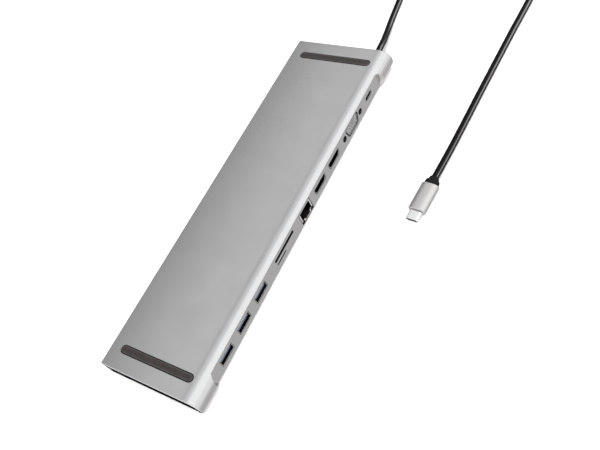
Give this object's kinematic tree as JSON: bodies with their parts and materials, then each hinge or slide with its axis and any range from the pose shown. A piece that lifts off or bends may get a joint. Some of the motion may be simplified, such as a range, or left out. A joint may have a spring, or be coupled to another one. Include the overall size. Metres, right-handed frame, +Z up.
{
  "type": "laptop docking station",
  "caption": "Flat aluminium laptop docking bar with a rounded port side, rubber rests and a captive USB-C lead",
  "frame": {"origin": "on the resting surface, under the middle of the bar without its lead", "axes": "+X along the bar towards the end where the lead leaves, -Y towards the port side, +Z up"},
  "size_m": [0.4235, 0.1537, 0.0169],
  "materials": {
    "anodised_aluminium": "satin",
    "black_plastic": "matte",
    "grey_rubber": "matte",
    "plated_steel": "satin",
    "blue_grey_plastic": "matte",
    "dark_plastic": "matte",
    "grey_plastic": "matte",
    "gold_contact": "polished",
    "board_laminate": "satin",
    "chip_epoxy": "matte",
    "thermal_silicone": "matte",
    "lead_jacket": "gloss"
  },
  "bodies": {
    "root": {"top_housing": "anodised_aluminium", "base_plate": "black_plastic", "near_end_plate": "black_plastic", "lead_end_plate": "black_plastic", "near_end_screw_1": "plated_steel", "near_end_screw_2": "plated_steel", "lead_end_screw_1": "plated_steel", "lead_end_screw_2": "plated_steel", "near_rubber_rest": "grey_rubber", "lead_rubber_rest": "grey_rubber", "near_foot": "grey_rubber", "lead_foot": "grey_rubber", "usb_a_shell_1": "plated_steel", "usb_a_shell_2": "plated_steel", "usb_a_shell_3": "plated_steel", "usb_a_tongue_1": "blue_grey_plastic", "usb_a_tongue_2": "blue_grey_plastic", "usb_a_tongue_3": "blue_grey_plastic", "sd_card_socket": "plated_steel", "microsd_card_socket": "dark_plastic", "network_shield": "plated_steel", "network_liner": "dark_plastic", "network_contacts": "gold_contact", "hdmi_shell_1": "plated_steel", "hdmi_shell_2": "plated_steel", "hdmi_tongue_1": "dark_plastic", "hdmi_tongue_2": "dark_plastic", "vga_shell": "plated_steel", "vga_insulator": "grey_plastic", "vga_jack_nut_1": "plated_steel", "vga_jack_nut_2": "plated_steel", "usb_c_shell": "plated_steel", "usb_c_tongue": "dark_plastic", "main_board": "board_laminate", "board_screw_1": "plated_steel", "board_screw_2": "plated_steel", "board_screw_3": "plated_steel", "board_screw_4": "plated_steel", "video_processor": "chip_epoxy", "usb_hub_chip": "chip_epoxy", "network_chip": "chip_epoxy", "power_controller": "chip_epoxy", "thermal_pad": "thermal_silicone", "heat_spreader": "anodised_aluminium", "power_coil_1": "dark_plastic", "power_coil_2": "dark_plastic", "lead_header": "dark_plastic", "inner_lead": "lead_jacket", "lead_grommet": "grey_rubber", "usb_c_lead": "lead_jacket", "plug_collar": "grey_rubber", "plug_body": "anodised_aluminium", "plug_tip": "plated_steel"}
  },
  "joints": []
}
